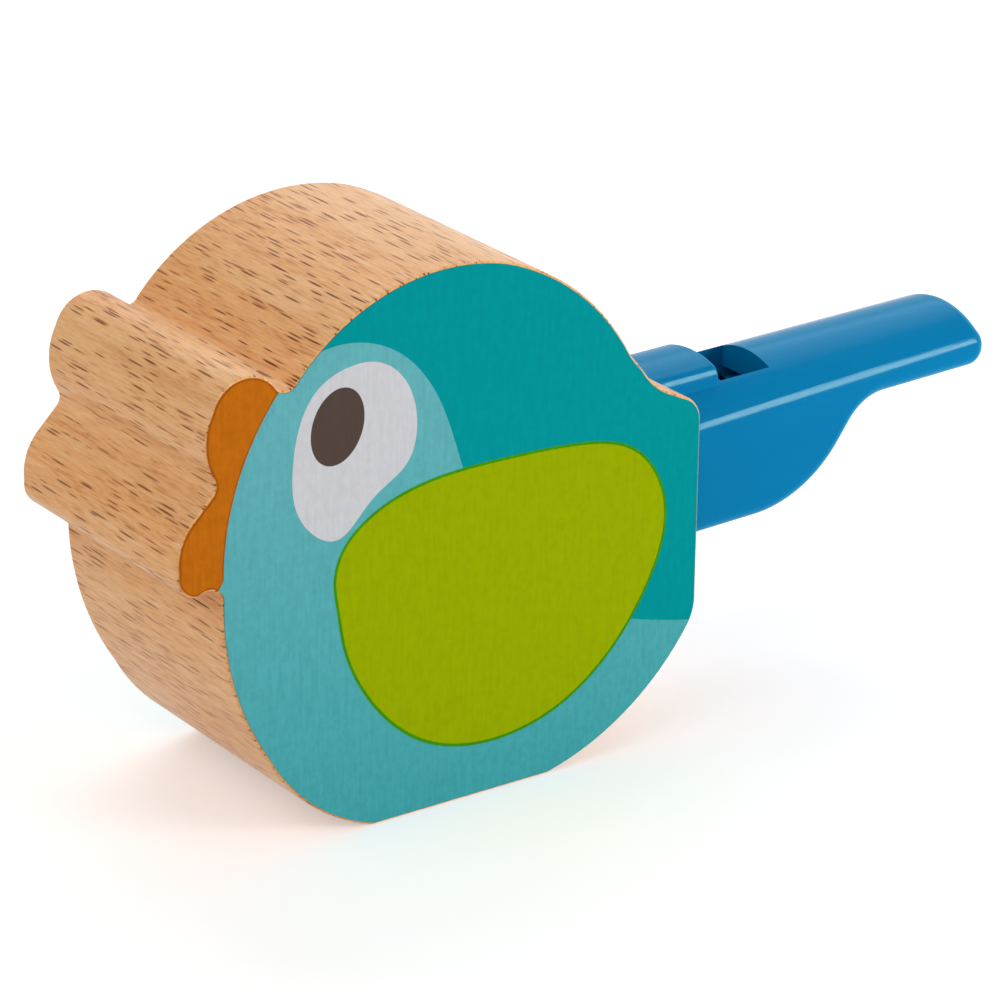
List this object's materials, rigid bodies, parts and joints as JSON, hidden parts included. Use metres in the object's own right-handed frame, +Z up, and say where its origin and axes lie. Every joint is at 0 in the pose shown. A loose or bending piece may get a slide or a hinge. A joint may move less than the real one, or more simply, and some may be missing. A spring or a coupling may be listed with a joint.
{
  "type": "toy bird whistle",
  "caption": "Flat wooden toy bird with printed sides and a blue plastic whistle set into its back as the tail; blown at the tail's end.",
  "frame": {"origin": "on the flat foot under the middle of the round body, half way through the thickness", "axes": "+X runs from the beak to the blowing end of the tail, +Z up, +Y through the thickness; the side in the picture faces -Y"},
  "size_m": [0.1108, 0.0302, 0.0591],
  "materials": {
    "beech": "sanded, unvarnished",
    "blue_plastic": "polished moulding",
    "turquoise_ink": "satin ink on wood",
    "teal_ink": "satin ink on wood",
    "orange_ink": "satin ink on wood",
    "lime_ink": "satin ink on wood",
    "white_ink": "satin ink on wood",
    "brown_ink": "satin ink on wood"
  },
  "bodies": {
    "root": {"wooden_body": "beech", "tail_whistle": "blue_plastic", "left_belly_print": "turquoise_ink", "left_back_print": "teal_ink", "left_beak_print": "orange_ink", "left_wing_print": "lime_ink", "left_eye_white_print": "white_ink", "left_pupil_print": "brown_ink", "right_belly_print": "turquoise_ink", "right_back_print": "teal_ink", "right_beak_print": "orange_ink", "right_wing_print": "lime_ink", "right_eye_white_print": "white_ink", "right_pupil_print": "brown_ink"}
  },
  "joints": []
}
